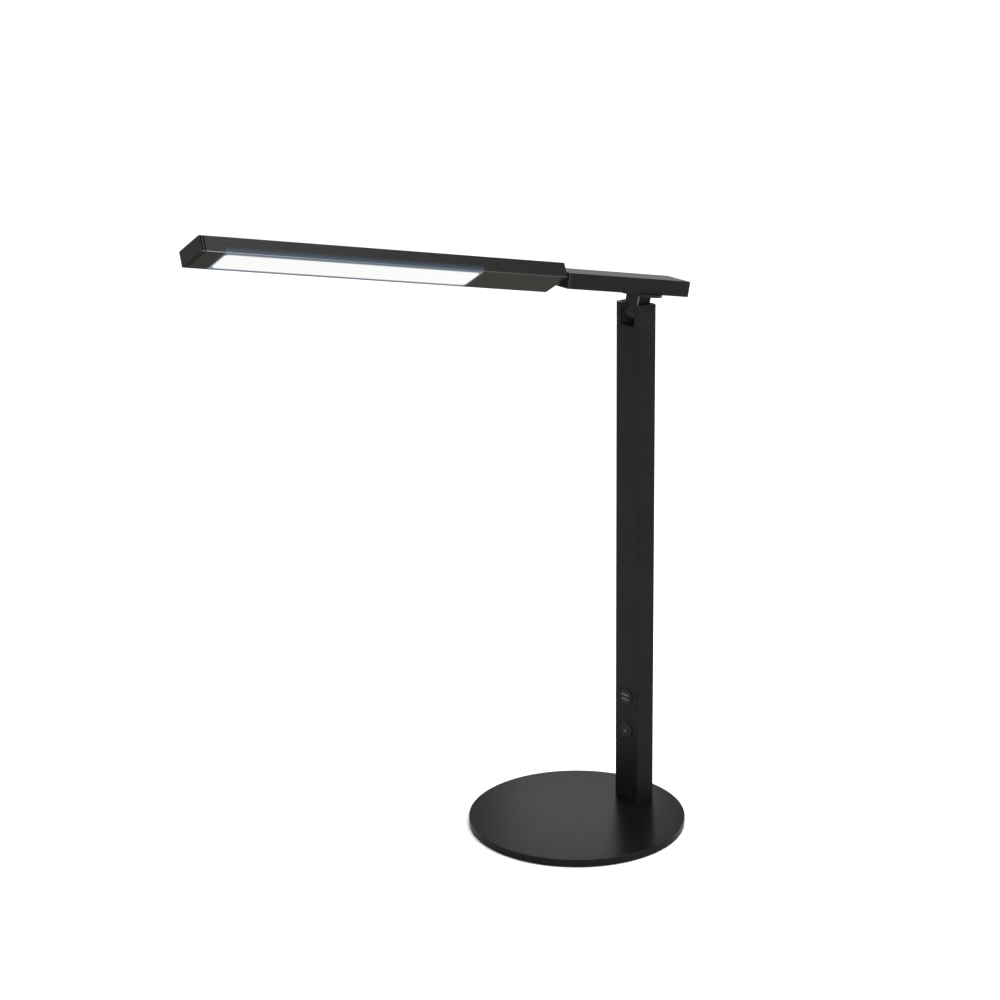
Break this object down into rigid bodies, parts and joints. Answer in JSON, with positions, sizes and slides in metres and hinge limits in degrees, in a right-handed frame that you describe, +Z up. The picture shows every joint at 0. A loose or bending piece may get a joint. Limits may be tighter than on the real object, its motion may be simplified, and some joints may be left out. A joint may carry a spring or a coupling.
{
  "type": "folding led desk lamp",
  "caption": "Folding desk lamp with a round weighted base, slim rectangular post, tilting and swivelling arm, and a flat LED head that rolls about the arm.",
  "frame": {"origin": "centre of the base disc on the desk surface", "axes": "+Z up, -Y the front: the buttons face it and the arm and head reach that way, +X across the lamp"},
  "size_m": [0.186, 0.4652, 0.5639],
  "materials": {
    "coated_steel": "fine matt black powder coat",
    "coated_aluminium": "fine matt black powder coat",
    "black_block": "black anodised",
    "bare_aluminium": "milled",
    "bare_steel": "zinc plated",
    "black_steel": "black oxide",
    "pad_rubber": "matt foam rubber",
    "black_plastic": "fine matt",
    "white_plastic": "matt white",
    "bearing_plastic": "natural acetal",
    "bearing_bronze": "sintered bronze",
    "board_green": "solder mask",
    "lead_jacket": "soft jacket",
    "opal_lens": "opal, lit from inside",
    "led_yellow": "phosphor",
    "button_grey": "soft satin",
    "mark_white": "pale print"
  },
  "bodies": {
    "base": {"base_plate": "coated_steel", "base_pad": "pad_rubber", "base_screws": "bare_steel", "foot_block": "bare_aluminium", "foot_cross_screws": "black_steel", "post_tube": "coated_aluminium", "hinge_block": "black_block", "hinge_block_screws": "black_steel", "hinge_pin": "bare_steel", "button_frame": "black_plastic", "control_board": "board_green", "push_switches": "black_plastic", "board_screws": "bare_steel", "power_socket": "black_plastic", "socket_pin": "bare_steel", "socket_nut": "bare_steel", "socket_lead": "lead_jacket", "post_lead": "lead_jacket"},
    "bracket": {"tilt_bracket": "coated_steel", "hinge_bush": "bearing_bronze", "hinge_washers": "bare_steel", "swivel_shaft": "bare_steel", "swivel_washer": "bearing_plastic", "swivel_spring": "bare_steel", "swivel_nut": "bare_steel"},
    "arm": {"swivel_disc": "coated_steel", "disc_screws": "black_steel", "swivel_bush": "bearing_plastic", "arm_tube": "coated_aluminium", "arm_rear_cap": "black_plastic", "arm_front_cap": "black_plastic", "roll_bush": "bearing_plastic", "arm_lead": "lead_jacket"},
    "head": {"roll_washer": "bare_steel", "roll_spring": "bare_steel", "roll_nut": "bare_steel", "roll_shaft": "bare_steel", "head_inner_cap": "black_plastic", "head_tube": "coated_aluminium", "head_tip_cap": "black_plastic", "diffuser": "opal_lens", "reflector_frame": "white_plastic", "led_board": "bare_aluminium", "leds": "led_yellow", "head_lead": "lead_jacket"},
    "power_button": {"power_button": "button_grey", "power_mark": "mark_white"},
    "mode_button": {"mode_button": "button_grey", "mode_mark": "mark_white"}
  },
  "joints": [
    {"name": "arm_tilt", "type": "hinge", "parent": "base", "child": "bracket", "pos_m": [0, 0.0634, 0.442], "axis": [1, 0, 0], "range_deg": [-13.5, 100]},
    {"name": "arm_swivel", "type": "hinge", "parent": "bracket", "child": "arm", "pos_m": [0, 0.0634, 0.442], "axis": [0, 0.1994, 0.9799], "range_deg": [-90, 90]},
    {"name": "head_roll", "type": "hinge", "parent": "arm", "child": "head", "pos_m": [0, 0.06804, 0.46483], "axis": [0, -0.9799, 0.1994], "range_deg": [-124, 55]},
    {"name": "power_press", "type": "slide", "parent": "base", "child": "power_button", "axis": [0, 1, 0], "range_m": [0, 0.0007], "stiffness_N_per_m": 900, "springref_m": -0.001},
    {"name": "mode_press", "type": "slide", "parent": "base", "child": "mode_button", "axis": [0, 1, 0], "range_m": [0, 0.0007], "stiffness_N_per_m": 900, "springref_m": -0.001}
  ]
}
